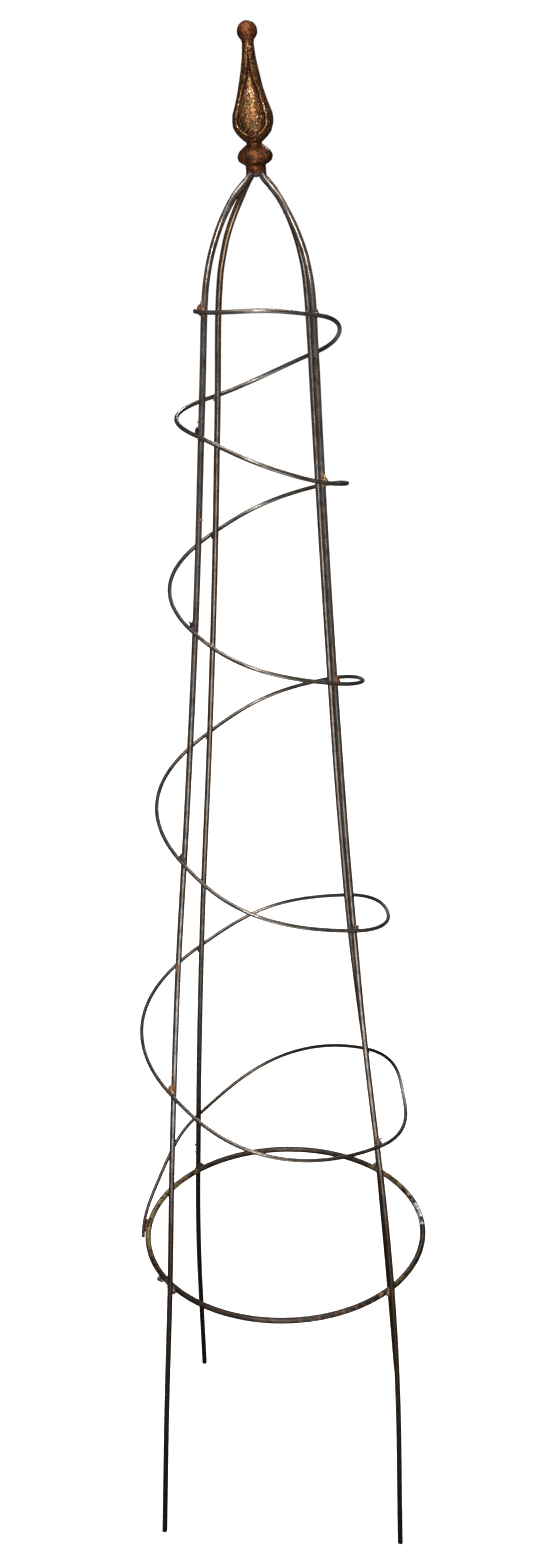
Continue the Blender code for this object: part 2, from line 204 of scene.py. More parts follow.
def smooth_value(points, x):
    """Height of the smooth curve through points, given as (x, value) in rising x."""
    slopes = slopes_at(points)
    x = min(max(x, points[0][0]), points[-1][0])
    index = max(i for i in range(len(points) - 1) if points[i][0] <= x)
    (x0, y0), (x1, y1) = points[index], points[index + 1]
    width = x1 - x0
    t = (x - x0) / width
    rise0, rise1 = slopes[index] * width, slopes[index + 1] * width
    return (
        (2 * t**3 - 3 * t**2 + 1) * y0
        + (t**3 - 2 * t**2 + t) * rise0
        + (3 * t**2 - 2 * t**3) * y1
        + (t**3 - t**2) * rise1
    )


def smoothstep(value, low, high):
    share = min(max((value - low) / (high - low), 0.0), 1.0)
    return share * share * (3 - 2 * share)


def hump(value, centre, width):
    return math.exp(-(((value - centre) / width) ** 2))


def polar(radius, azimuth, height):
    """A place given round the obelisk's axis, which drifts to the right towards the crown."""
    drift = smooth_value(AXIS_DRIFT, height)
    return AXIS + Vector((drift + radius * math.cos(azimuth), radius * math.sin(azimuth), height))


def outward(place):
    return Vector((place.x - AXIS.x, place.y - AXIS.y, 0.0)).normalized()


def leg_bend(name, height):
    return smooth_value(tuple(zip(BEND_HEIGHTS, LEG_BENDS[name])), height)


def leg_azimuth(name, height):
    return math.radians(smooth_value(tuple(zip(AZIMUTH_HEIGHTS, LEG_AZIMUTHS[name])), height))


def leg_place(name, height):
    radius = smooth_value(LEG_PROFILE, height) + leg_bend(name, height)
    return polar(radius, leg_azimuth(name, height), height)


def leg_name(quarter):
    return list(LEG_AZIMUTHS)[quarter % 4]


def running_azimuth(quarter, height):
    """Compass angle of the leg met at a whole quarter, counted on from turn to turn."""
    past_zero = 1 if quarter % 4 >= 2 else 0
    return leg_azimuth(leg_name(quarter), height) + 2 * math.pi * (quarter // 4 + past_zero)


def at_crossings(value):
    """A value of quarter and height, worked out wherever the spiral meets a leg."""
    wholes = range(-1, SPIRAL_CROSSINGS + 1)
    return [(whole, value(whole, smooth_value(SPIRAL_PROFILE, whole))) for whole in wholes]


SPIRAL_CORNERS = at_crossings(running_azimuth)
SPIRAL_BENDS = at_crossings(lambda whole, height: leg_bend(leg_name(whole), height))


def spiral_azimuth(quarter):
    return smooth_value(SPIRAL_CORNERS, quarter)


def spiral_place(quarter):
    height = smooth_value(SPIRAL_PROFILE, quarter)
    radius = smooth_value(LEG_PROFILE, height) + smooth_value(SPIRAL_BENDS, quarter) + SPIRAL_OFFSET
    last = SPIRAL_CROSSINGS - 1
    if quarter > last:
        share = (quarter - last) / (SPIRAL_END - last)
        ease = share * share * (3 - 2 * share)
        radius += (SPIRAL_RING_RADIUS - radius) * ease
        radius += LAST_BULGE * math.sin(math.pi * share) ** 2
    else:
        between = math.sin(math.pi * (quarter % 1)) ** 2
        radius += SPIRAL_BULGES[int(quarter) % 4] * between * max(quarter / last, 0.0)
    return polar(radius, spiral_azimuth(quarter), height)


def even_steps(path, step):
    """Points at equal distances of about step along a finely sampled path."""
    lengths = [0.0]
    for a, b in zip(path, path[1:]):
        lengths.append(lengths[-1] + (b - a).length)
    count = max(2, round(lengths[-1] / step) + 1)
    points = []
    index = 0
    for i in range(count):
        wanted = lengths[-1] * i / (count - 1)
        while index < len(path) - 2 and lengths[index + 1] < wanted:
            index += 1
        share = (wanted - lengths[index]) / (lengths[index + 1] - lengths[index])
        points.append(path[index].lerp(path[index + 1], min(share, 1.0)))
    return points


# ---------------------------------------------------------------- meshes


def new_object(name, mesh, material):
    mesh.materials.append(material)
    mesh.shade_smooth()
    item = bpy.data.objects.new(name, mesh)
    bpy.context.scene.collection.objects.link(item)
    return item


def settle(item, slot, *nodes):
    """Ties a finished piece to the frame."""
    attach(item, "root")
    for node in nodes:
        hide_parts(node)
    return item


def paint(mesh, name, values):
    """Stores one number for each vertex, for a material to read."""
    layer = mesh.attributes.new(name, "FLOAT", "POINT")
    layer.data.foreach_set("value", values)


def rough(place, size, seed):
    """Smooth noise between about -1 and 1, with lumps of the given size."""
    return noise.noise(place / size + Vector((seed, seed * 1.7, -seed)))


def sweep(name, path, radius, sides, closed=False, lump=0.00005):
    """A round wire with a slightly uneven skin. Returns its mesh and each vertex's place on it."""
    count = len(path)
    vertices, along, around = [], [], []
    length = 0.0
    for i, place in enumerate(path):
        if closed:
            tangent = (path[(i + 1) % count] - path[i - 1]).normalized()
        else:
            tangent = (path[min(i + 1, count - 1)] - path[max(i - 1, 0)]).normalized()
        if i:
            length += (place - path[i - 1]).length
        side = tangent.cross(outward(place)).normalized()
        out = side.cross(tangent)
        for k in range(sides):
            angle = 2 * math.pi * k / sides
            ray = out * math.cos(angle) + side * math.sin(angle)
            skin = place + ray * radius
            swell = lump * (rough(skin, 0.007, 3.0) + 0.6 * rough(skin, 0.0018, 9.0))
            vertices.append(skin + ray * swell)
            along.append(length)
            around.append(angle)
    faces = []
    for i in range(count if closed else count - 1):
        low, high = i * sides, ((i + 1) % count) * sides
        for k in range(sides):
            after = (k + 1) % sides
            faces.append((low + k, low + after, high + after, high + k))
    mesh = bpy.data.meshes.new(name)
    if not closed:
        faces += rounded_end(vertices, along, around, path[0] - path[1], 0, sides)
        faces += rounded_end(vertices, along, around, path[-1] - path[-2], (count - 1) * sides, sides)
    mesh.from_pydata(vertices, [], faces)
    fix_normals(mesh)
    paint(mesh, "along", along)
    paint(mesh, "around", around)
    return mesh


def rounded_end(vertices, along, around, direction, first, sides):
    """Closes a wire with a sawn face whose rim is worn round."""
    direction = direction.normalized()
    rim = vertices[first:first + sides]
    centre = sum(rim, Vector()) / sides
    start = len(vertices)
    loops = ((0.93, 0.00022), (0.78, 0.00034), (0.45, 0.00036))
    for share, reach in loops:
        for k in range(sides):
            vertices.append(centre + (rim[k] - centre) * share + direction * reach)
            along.append(along[first])
            around.append(around[first + k])
    faces = []
    previous = first
    for ring in range(len(loops)):
        here = start + ring * sides
        for k in range(sides):
            after = (k + 1) % sides
            faces.append((previous + k, here + k, here + after, previous + after))
        previous = here
    faces.append(tuple(previous + k for k in range(sides)))
    return faces


def fix_normals(mesh):
    work = bmesh.new()
    work.from_mesh(mesh)
    bmesh.ops.recalc_face_normals(work, faces=work.faces)
    work.to_mesh(mesh)
    work.free()


def level_foot(mesh, height):
    """Saws a rod's foot off level with the ground."""
    for vertex in mesh.vertices:
        if vertex.co.z < height:
            vertex.co.z = height


# ---------------------------------------------------------------- rust and heat marks

# The spiral welds that stand out, by crossing: kind, rust on the leg above, and size
WELD_LOOKS = {
    0: ("rust", 0.25, 1.35),
    1: ("grey", 0.1, 0.8),
    3: ("red", 0.3, 0.8),
    4: ("dark", 0.3, 1.15),
    5: ("gold", 0.5, 1.0),
    8: ("grey", 0.3, 1.1),
    9: ("rust", 0.4, 1.0),
    11: ("red", 0.3, 0.8),
    12: ("grey", 0.15, 0.9),
    13: ("red", 0.3, 0.85),
    16: ("gold", 0.8, 1.2),
    17: ("red", 0.7, 1.0),
}
PLAIN_LOOK = ("grey", 0.08, 0.8)
WELD_TINTS = {
    "dark": -0.15, "grey": 0.0, "red": 0.20, "rust": 0.35, "gold": 0.62
}
# Height of a lone rust patch on the front left rod
RUST_PATCH = 0.700


def look_of(quarter):
    return WELD_LOOKS.get(quarter, PLAIN_LOOK)


def leg_rust(name, height):
    """How rusty a leg is at a height, from 0 to 1."""
    rust = 0.05 + 0.40 * smoothstep(height, 1.432, 1.443)
    for quarter in range(SPIRAL_CROSSINGS):
        if leg_name(quarter) == name:
            crossing = smooth_value(SPIRAL_PROFILE, quarter)
            above = height - crossing
            reach = 0.016 if above > 0 else 0.007
            rust += look_of(quarter)[1] * hump(above, 0.003, reach)
    rust += 0.35 * hump(height, RING_HEIGHT, 0.012)
    if name == "leg_back_right":
        rust += 0.25 * (1 - smoothstep(height, 0.02, 0.12))
    if name == "leg_front_left":
        rust += 0.9 * hump(height, RUST_PATCH, 0.006)
    return min(rust, 1.0)


def leg_brown(name, height):
    """How far the steel of a leg has turned an even olive brown."""
    if name == "leg_back_left":
        return 0.30 + 0.65 * smoothstep(height, 1.20, 1.38)
    if name == "leg_front_left":
        return 0.15 * smoothstep(height, 0.50, 0.80)
    return 0.12


def leg_low_darkening(height):
    """How much darker a leg is drawn: black at the foot, no darkening from the middle up."""
    return 1 - smoothstep(height, 0.25, 0.75)


def build_leg(name, material):
    fine = [leg_place(name, LEG_TOP * i / 1500) for i in range(1501)]
    path = even_steps(fine, ROD_STEP)
    below = path[0] - (path[1] - path[0])
    mesh = sweep(name + "_rod", [below] + path, LEG_ROD / 2, ROD_SIDES)
    level_foot(mesh, 0.0)
    heights = [vertex.co.z for vertex in mesh.vertices]
    levels = {round(h, 3): h for h in heights}
    rust = {level: leg_rust(name, h) for level, h in levels.items()}
    brown = {level: leg_brown(name, h) for level, h in levels.items()}
    paint(mesh, "rust", [rust[round(h, 3)] for h in heights])
    paint(mesh, "low_darkening", [leg_low_darkening(h) for h in heights])
    paint(mesh, "brown", [brown[round(h, 3)] for h in heights])
    return settle(new_object(name + "_rod", mesh, material), "leg_steel", name)


def build_ring(material):
    count = round(2 * math.pi * RING_RADIUS / WIRE_STEP)
    path = [polar(RING_RADIUS, 2 * math.pi * i / count, RING_HEIGHT) for i in range(count)]
    mesh = sweep("base_ring_wire", path, RING_WIRE / 2, ROD_SIDES, closed=True, lump=0.00008)
    # Painted highlight: a pale silvery patch on the ring's right side stands in for a bright glint there.
    rust, tan, painted_glint = [], [], []
    for vertex in mesh.vertices:
        azimuth = math.degrees(math.atan2(vertex.co.y - AXIS.y, vertex.co.x - AXIS.x)) % 360
        tan.append(hump(azimuth, 165, 38) + 0.8 * hump(azimuth, 33, 20) + 0.5 * hump(azimuth, 318, 16))
        painted_glint.append(hump(azimuth, 4, 15))
        rust.append(min(0.45 + 0.35 * hump(azimuth, 290, 26), 1.0))
    paint(mesh, "rust", rust)
    paint(mesh, "tan", tan)
    paint(mesh, "painted_glint", painted_glint)
    return settle(new_object("base_ring_wire", mesh, material), "ring_steel", "base_ring")


def build_spiral(material):
    steps = 60
    whole = int(SPIRAL_END * steps)
    quarters = [SPIRAL_START] + [i / steps for i in range(whole + 1)]
    path = even_steps([spiral_place(q) for q in quarters], WIRE_STEP)
    mesh = sweep("spiral_wire_fine", path, SPIRAL_WIRE / 2, WIRE_SIDES, lump=0.00004)
    crossings = [spiral_place(q) for q in range(SPIRAL_CROSSINGS)]
    rust = []
    for vertex in mesh.vertices:
        nearest = min((vertex.co - place).length for place in crossings)
        rust.append(min(0.05 + 0.25 * hump(nearest, 0, 0.010), 1.0))
    paint(mesh, "rust", rust)
    # Darker towards the bottom of the spiral.
    paint(mesh, "low_darkening", [1 - smoothstep(vertex.co.z, 0.42, 0.66) for vertex in mesh.vertices])
    # Painted highlight: the turns at the far right are painted pale silvery where the wire would catch a
    # bright glint.
    sides = [math.degrees(math.atan2(vertex.co.y, vertex.co.x)) for vertex in mesh.vertices]
    paint(mesh, "painted_glint", [0.8 * hump(side, 2, 14) for side in sides])
    return settle(new_object("spiral_wire_fine", mesh, material), "spiral_steel", "spiral_wire")


# ---------------------------------------------------------------- welds


def lump(work, centre, axes, radii):
    """Adds one ball of weld metal, stretched along its three axes."""
    made = bmesh.ops.create_icosphere(work, subdivisions=3, radius=1.0)
    frame_matrix = Matrix((axes[0], axes[1], axes[2])).transposed()
    for vertex in made["verts"]:
        scaled = Vector(a * b for a, b in zip(vertex.co, radii))
        vertex.co = centre + frame_matrix @ scaled


def melt_together(name, work, material, crust=0.00022):
    """Turns overlapping balls into one lumpy skin."""
    mesh = bpy.data.meshes.new(name)
    work.to_mesh(mesh)
    work.free()
    item = new_object(name, mesh, material)
    remesh = item.modifiers.new("melt", "REMESH")
    remesh.mode = "VOXEL"
    remesh.voxel_size = WELD_VOXEL
    smooth = item.modifiers.new("settle", "SMOOTH")
    smooth.iterations = 2
    smooth.factor = 0.5
    evaluated = item.evaluated_get(bpy.context.evaluated_depsgraph_get())
    melted = bpy.data.meshes.new_from_object(evaluated)
    melted.name = name
    item.modifiers.clear()
    item.data = melted
    bpy.data.meshes.remove(mesh)
    melted.update()
    moved = []
    for vertex in melted.vertices:
        swell = rough(vertex.co, 0.0026, 5.0) + 0.5 * rough(vertex.co, 0.0011, 2.0)
        moved.append(vertex.co + vertex.normal * crust * swell)
    for vertex, place in zip(melted.vertices, moved):
        vertex.co = place
    melted.shade_smooth()
    return item


def tint_by(item, tint, spread=0.12):
    values = []
    for vertex in item.data.vertices:
        values.append(tint + spread * rough(vertex.co, 0.003, 11.0))
    paint(item.data, "tint", values)


def crossing_axes(quarter):
    """Along the leg, along the wire and outwards, where the spiral meets a leg."""
    name = leg_name(quarter)
    height = smooth_value(SPIRAL_PROFILE, quarter)
    up = (leg_place(name, height + 0.002) - leg_place(name, height - 0.002)).normalized()
    along = (spiral_place(quarter + 0.02) - spiral_place(max(quarter - 0.02, SPIRAL_START))).normalized()
    out = up.cross(along).normalized()
    if out.dot(outward(spiral_place(quarter))) < 0:
        out = -out
    return up, along, out


def build_spiral_weld(quarter, material):
    kind, _, size = look_of(quarter)
    up, along, out = crossing_axes(quarter)
    place = spiral_place(quarter) - out * (SPIRAL_WIRE / 2 + 0.0004)
    axes = (up, along, out)
    corner = -1 if quarter % 4 in (0, 3) else 1
    work = bmesh.new()
    lump(work, place, axes, (0.0030 * size, 0.0034 * size, 0.0017))
    lump(work, place + up * 0.0022 * size + along * corner * 0.0026 * size - out * 0.0004,
         axes, (0.0026 * size, 0.0022 * size, 0.0018))
    lump(work, place + up * 0.0048 * size + along * corner * 0.0009 + out * 0.0004 - out * 0.0008,
         axes, (0.0028 * size, 0.0017, 0.0014))
    lump(work, place - up * 0.0022 * size - along * corner * 0.0018 - out * 0.0004,
         axes, (0.0018, 0.0020, 0.0013))
    for _ in range(3):
        drift = up * RANDOM.uniform(-0.002, 0.007) + along * corner * RANDOM.uniform(-0.001, 0.005)
        grain = RANDOM.uniform(0.0007, 0.0013)
        lump(work, place + drift * size, axes, (grain, grain, grain))
    item = melt_together(f"spiral_weld_{quarter + 1:02d}_bead", work, material)
    tint_by(item, WELD_TINTS[kind])
    return settle(item, "weld_metal", f"spiral_weld_{quarter + 1:02d}")


def ring_axes(azimuth):
    out = Vector((math.cos(azimuth), math.sin(azimuth), 0.0))
    along = Vector((-math.sin(azimuth), math.cos(azimuth), 0.0))
    return Vector((0.0, 0.0, 1.0)), along, out


RING_WELD_TINTS = {"leg_front_left": 0.05, "leg_front_right": 0.25}


def build_ring_weld(name, material):
    azimuth = leg_azimuth(name, RING_HEIGHT)
    axes = ring_axes(azimuth)
    up, along, out = axes
    place = polar(RING_RADIUS + RING_WIRE / 2, azimuth, RING_HEIGHT)
    long_side = name == "leg_front_left"
    work = bmesh.new()
    lump(work, place, axes, (0.0040, 0.0046, 0.0026))
    for turn in (-1, 1):
        lump(work, place + along * turn * 0.0036 + out * 0.0006, axes, (0.0032, 0.0028, 0.0026))
        lump(work, place + along * turn * 0.0018 + up * 0.0034, axes, (0.0024, 0.0022, 0.0022))
        lump(work, place + along * turn * 0.0020 - up * 0.0032, axes, (0.0022, 0.0020, 0.0020))
    if long_side:
        for _ in range(16):
            drift = -along * RANDOM.uniform(0.001, 0.024) + up * RANDOM.uniform(-0.0044, 0.0044)
            grain = RANDOM.uniform(0.0012, 0.0026)
            centre = place + drift + out * RANDOM.uniform(-0.001, 0.0006)
            lump(work, centre, axes, (grain, grain * 1.2, grain))
    item = melt_together(name.replace("leg", "ring_weld") + "_bead", work, material, 0.0003)
    tint_by(item, RING_WELD_TINTS.get(name, 0.0), 0.25)
    return settle(item, "weld_metal", name.replace("leg", "ring_weld"))


def build_end_weld(material):
    """The weld that ties the spiral's lower end to the base ring."""
    azimuth = spiral_azimuth(SPIRAL_END - 0.08)
    axes = ring_axes(azimuth)
    up, along, _ = axes
    place = polar(RING_RADIUS + RING_WIRE / 2, azimuth, RING_HEIGHT)
    work = bmesh.new()
    for share in (-1.0, -0.4, 0.3, 1.0):
        reach = along * 0.0062 * share
        lump(work, place + reach + up * 0.0012, axes, (0.0026, 0.0026, 0.0022))
        lump(work, place + reach - up * 0.0012, axes, (0.0022, 0.0024, 0.0020))
    item = melt_together("spiral_end_weld_bead", work, material)
    tint_by(item, 0.3, 0.3)
    return settle(item, "weld_metal", "spiral_end_weld")


def build_socket_weld(quarter, material):
    """A run of weld under the finial's mouth, in the corner between two rods."""
    height = SOCKET_MOUTH - 0.0012
    azimuth = (running_azimuth(quarter, height) + running_azimuth(quarter + 1, height)) / 2
    axes = ring_axes(azimuth)
    up, along, _ = axes
    place = polar(0.0066, azimuth, height)
    work = bmesh.new()
    lump(work, place, axes, (0.0022, 0.0034, 0.0026))
    for turn in (-1, 1):
        lump(work, place + along * turn * 0.0026 + up * 0.0014, axes, (0.0018, 0.0022, 0.0020))
    item = melt_together(f"socket_weld_{quarter + 1}_bead", work, material)
    tint_by(item, -0.1, 0.08)
    return settle(item, "weld_metal", f"socket_weld_{quarter + 1}")


# Drops of weld spatter: leg, height, compass angle round the rod from outwards, size
SPATTER = (
    ("leg_front_right", 1.4365, 60, 0.0011),
    ("leg_front_right", 1.4310, 70, 0.0012),
    ("leg_front_right", 1.4140, 195, 0.0010),
    ("leg_back_right", 1.4290, 150, 0.0009),
    ("leg_front_left", 1.1480, 95, 0.0013),
    ("leg_front_left", 1.2360, -60, 0.0010),
    ("leg_front_left", 0.8300, 0, 0.0010),
    ("leg_front_left", 0.5800, 20, 0.0012),
    ("leg_back_left", 0.3500, 80, 0.0014),
    ("leg_back_left", 0.3390, 70, 0.0010),
    ("leg_front_right", 0.7000, -30, 0.0009),
    ("leg_back_right", 0.9000, 20, 0.0010),
)


def build_spatter(material):
    work = bmesh.new()
    for name, height, turn, size in SPATTER:
        centre = leg_place(name, height)
        up = (leg_place(name, height + 0.002) - centre).normalized()
        side = up.cross(outward(centre)).normalized()
        out = side.cross(up)
        ray = out * math.cos(math.radians(turn)) + side * math.sin(math.radians(turn))
        place = centre + ray * (LEG_ROD / 2 + size * 0.35)
        lump(work, place, (up, side, out), (size * 1.1, size, size))
    item = melt_together("weld_spatter", work, material, 0.0001)
    tint_by(item, 0.25, 0.3)
    return settle(item, "weld_metal")


# ---------------------------------------------------------------- finial

PANEL_COUNT = 3
PANEL_TURN = math.radians(-6)
PANEL_DEPTH = 0.0017
PANEL_WALL = 0.0012
# Half width of a leaf-shaped panel, in degrees, by height above the socket's mouth
PANEL_SHAPE = (
    (0.0320, 0.0),
    (0.0340, 26.0),
    (0.0370, 40.0),
    (0.0430, 49.0),
    (0.0500, 50.0),
    (0.0600, 48.5),
    (0.0675, 45.0),
    (0.0735, 37.0),
    (0.0820, 24.0),
    (0.0945, 13.0),
    (0.1020, 9.0),
    (0.1045, 0.0),
)


def outline_radius(height):
    return smooth_value(tuple(reversed(FINIAL_OUTLINE)), height)


def panel_recess(height, azimuth, radius):
    """How far the skin is sunk at a place, and how near the place is to a panel's wall."""
    if not PANEL_SHAPE[0][0] < height < PANEL_SHAPE[-1][0]:
        return 0.0, 0.0
    pitch = 2 * math.pi / PANEL_COUNT
    offset = (azimuth + math.pi / 2 - PANEL_TURN + pitch / 2) % pitch - pitch / 2
    half = math.radians(smooth_value(PANEL_SHAPE, height))
    inside = (half - abs(offset)) * radius
    sunk = smoothstep(inside, 0.0, PANEL_WALL)
    groove = hump(inside, PANEL_WALL, 0.0019)
    depth = PANEL_DEPTH * sunk * (0.30 + 0.70 * groove)
    depth *= min(1.0, half * radius / 0.004)
    vein = hump(offset * radius, 0.0, 0.00045) * smoothstep(height, 0.037, 0.042)
    vein *= 1 - smoothstep(height, 0.058, 0.080)
    bud = hump(math.hypot(offset * radius, height - 0.0372), 0.0, 0.0019)
    return depth - 0.00035 * vein * sunk - 0.0011 * bud * sunk, groove * sunk


def finial_rows():
    """Height, radius and kind of each ring of vertices, from the top down."""
    rows = []
    low = math.asin(FINIAL_OUTLINE[0][1] / BALL_RADIUS)
    ball_steps = 26
    for i in range(1, ball_steps):
        angle = (math.pi - low) * i / ball_steps
        height = BALL_CENTRE + BALL_RADIUS * math.cos(angle)
        rows.append((height, BALL_RADIUS * math.sin(angle), "ball"))
    for (high, _), (below, _) in zip(FINIAL_OUTLINE, FINIAL_OUTLINE[1:]):
        steps = max(4, round((high - below) / 0.0007))
        for i in range(steps):
            height = high + (below - high) * i / steps
            kind = "body" if height > 0.0250 else "collar"
            rows.append((height, outline_radius(height), kind))
    rows.append((0.0004, FINIAL_OUTLINE[-1][1], "collar"))
    rows.append((0.0, FINIAL_OUTLINE[-1][1] - 0.0004, "collar"))
    rows.append((0.0, BORE_RADIUS + 0.0003, "bore"))
    rows.append((0.0004, BORE_RADIUS, "bore"))
    rows.append((BORE_DEPTH, BORE_RADIUS, "bore"))
    return rows


def stand_finial(place):
    """From the finial's own frame to the frame of the obelisk, leaning to the left."""
    turned = Matrix.Rotation(-FINIAL_LEAN, 3, "Y") @ place
    return polar(0.0, 0.0, SOCKET_MOUTH) + turned


def build_finial(material):
    rows = finial_rows()
    vertices, shaded_groove, kinds = [], [], []
    cast = {"ball": 0.00016, "body": 0.00010, "collar": 0.00022, "bore": 0.0}
    for height, radius, kind in rows:
        for k in range(FINIAL_COLUMNS):
            azimuth = 2 * math.pi * k / FINIAL_COLUMNS
            sunk, groove = panel_recess(height, azimuth, radius) if kind == "body" else (0.0, 0.0)
            ray = Vector((math.cos(azimuth), math.sin(azimuth), 0.0))
            place = ray * radius + Vector((0.0, 0.0, height))
            swell = rough(place, 0.0045, 1.0) + 0.6 * rough(place, 0.0016, 4.0)
            place += ray * (cast[kind] * swell - sunk)
            vertices.append(stand_finial(place))
            shaded_groove.append(groove)
            kinds.append({"ball": 1.0, "body": 0.0, "collar": 1.0, "bore": 1.0}[kind])
    faces = []
    for i in range(len(rows) - 1):
        for k in range(FINIAL_COLUMNS):
            after = (k + 1) % FINIAL_COLUMNS
            a, b = i * FINIAL_COLUMNS, (i + 1) * FINIAL_COLUMNS
            faces.append((a + k, b + k, b + after, a + after))
    faces += close_hole(vertices, shaded_groove, kinds, 0, Vector((0, 0, BALL_CENTRE + BALL_RADIUS)))
    top_of_bore = Vector((0, 0, BORE_DEPTH + 0.002))
    faces += close_hole(vertices, shaded_groove, kinds, (len(rows) - 1) * FINIAL_COLUMNS, top_of_bore)
    mesh = bpy.data.meshes.new("finial_cast")
    mesh.from_pydata(vertices, [], faces)
    fix_normals(mesh)
    # Nearness to a panel's wall, where the material paints shade into the grooves.
    paint(mesh, "shaded_groove", shaded_groove)
    paint(mesh, "matte", kinds)
    return settle(new_object("finial_cast", mesh, material), "finial_casting", "finial")


def close_hole(vertices, shaded_groove, kinds, first, centre):
    vertices.append(stand_finial(centre))
    shaded_groove.append(0.0)
    kinds.append(1.0)
    middle = len(vertices) - 1
    return [
        (middle, first + k, first + (k + 1) % FINIAL_COLUMNS) for k in range(FINIAL_COLUMNS)
    ]


# ---------------------------------------------------------------- materials


class Recipe:
    """A node material under construction, with short names for the nodes it uses."""

    def __init__(self, name):
        self.material = bpy.data.materials.new(name)
        self.material.use_nodes = True
        self.tree = self.material.node_tree
        self.shader = self.tree.nodes["Principled BSDF"]
        self.place = self.tree.nodes.new("ShaderNodeTexCoord").outputs["Object"]

    def add(self, kind, **settings):
        made = self.tree.nodes.new(kind)
        for key, value in settings.items():
            setattr(made, key, value)
        return made

    def link(self, source, socket):
        self.tree.links.new(source, socket)

    def set(self, name, value):
        self.shader.inputs[name].default_value = value

    def drive(self, name, source):
        self.link(source, self.shader.inputs[name])

    def number(self, name):
        """A number painted on the mesh."""
        return self.add("ShaderNodeAttribute", attribute_name=name).outputs["Fac"]

    def noise(self, size, detail=3.0, roughness=0.55, vector=None, distortion=0.0):
        """Noise with lumps of about the given size, from 0 to 1."""
        made = self.add("ShaderNodeTexNoise")
        made.inputs["Scale"].default_value = 1.0 / size
        made.inputs["Detail"].default_value = detail
        made.inputs["Roughness"].default_value = roughness
        made.inputs["Distortion"].default_value = distortion
        self.link(vector or self.place, made.inputs["Vector"])
        return made.outputs["Fac"]

    def pits(self, size, vector=None):
        """Distance to the middle of the nearest pit."""
        made = self.add("ShaderNodeTexVoronoi")
        made.inputs["Scale"].default_value = 1.0 / size
        self.link(vector or self.place, made.inputs["Vector"])
        return made.outputs["Distance"]

    def fit(self, source, low, high, out_low=0.0, out_high=1.0):
        """Stretches a number from one range to another, clamped."""
        made = self.add("ShaderNodeMapRange", interpolation_type="SMOOTHSTEP")
        made.inputs["From Min"].default_value = low
        made.inputs["From Max"].default_value = high
        made.inputs["To Min"].default_value = out_low
        made.inputs["To Max"].default_value = out_high
        self.link(source, made.inputs["Value"])
        return made.outputs["Result"]

    def maths(self, operation, first, second):
        made = self.add("ShaderNodeMath", operation=operation)
        for socket, value in zip(made.inputs, (first, second)):
            if isinstance(value, (int, float)):
                socket.default_value = value
            else:
                self.link(value, socket)
        return made.outputs["Value"]

    def blend(self, share, first, second, mode="MIX"):
        """Colour between first and second."""
        made = self.add("ShaderNodeMix", data_type="RGBA", blend_type=mode)
        self.link(share, made.inputs["Factor"])
        for socket, value in zip((made.inputs[6], made.inputs[7]), (first, second)):
            if isinstance(value, tuple):
                socket.default_value = (*value, 1.0)
            else:
                self.link(value, socket)
        return made.outputs[2]

    def bump(self, layers):
        """Raised detail from (height, strength, depth in metres) layers."""
        normal = None
        for height, strength, depth in layers:
            made = self.add("ShaderNodeBump")
            made.inputs["Strength"].default_value = strength
            made.inputs["Distance"].default_value = depth
            self.link(height, made.inputs["Height"])
            if normal:
                self.link(normal, made.inputs["Normal"])
            normal = made.outputs["Normal"]
        self.drive("Normal", normal)


def streaks(recipe):
    """Coordinates that stretch a pattern along a drawn rod."""
    join = recipe.add("ShaderNodeCombineXYZ")
    along = recipe.maths("MULTIPLY", recipe.number("along"), 0.12)
    around = recipe.number("around")
    recipe.link(along, join.inputs["X"])
    recipe.link(recipe.maths("MULTIPLY", recipe.maths("COSINE", around, 0), 0.0028), join.inputs["Y"])
    recipe.link(recipe.maths("MULTIPLY", recipe.maths("SINE", around, 0), 0.0028), join.inputs["Z"])
    return join.outputs["Vector"]


def steel_material(name, dark, scale, pale, rust_bias=0.0):
    """Drawn steel with mill scale, pale where it is rubbed, and rust where it is painted."""
    r = Recipe(name)
    lines = streaks(r)
    patches = r.noise(0.011, 4.0, 0.6)
    drawn = r.noise(0.0011, 3.0, 0.6, lines)
    fine = r.noise(0.0009, 4.0, 0.65)
    base = r.blend(r.fit(patches, 0.38, 0.62), dark, scale)
    base = r.blend(r.fit(drawn, 0.48, 0.72, 0.0, 0.75), base, pale)
    rust_noise = r.maths("ADD", r.noise(0.0042, 5.0, 0.65), r.maths("MULTIPLY", r.number("rust"), 0.42))
    rusty = r.fit(rust_noise, 0.66 - rust_bias, 0.90 - rust_bias)
    rust_colour = r.blend(r.fit(fine, 0.35, 0.65), (0.045, 0.018, 0.009), (0.20, 0.082, 0.026))
    colour = r.blend(rusty, base, rust_colour)
    return r, colour, rusty, fine, drawn


def finish_steel(r, colour, rusty, fine, drawn, gloss=(0.34, 0.52), metal=0.75):
    r.drive("Base Color", colour)
    shine = r.fit(fine, 0.3, 0.7, *gloss)
    r.drive("Roughness", r.maths("ADD", shine, r.maths("MULTIPLY", rusty, 0.3)))
    r.drive("Metallic", r.fit(rusty, 0.0, 1.0, metal, 0.1))
    crust = r.maths("MULTIPLY", fine, rusty)
    r.bump([(drawn, 0.08, 0.00006), (crust, 0.7, 0.0002), (fine, 0.06, 0.0001)])
    return r.material


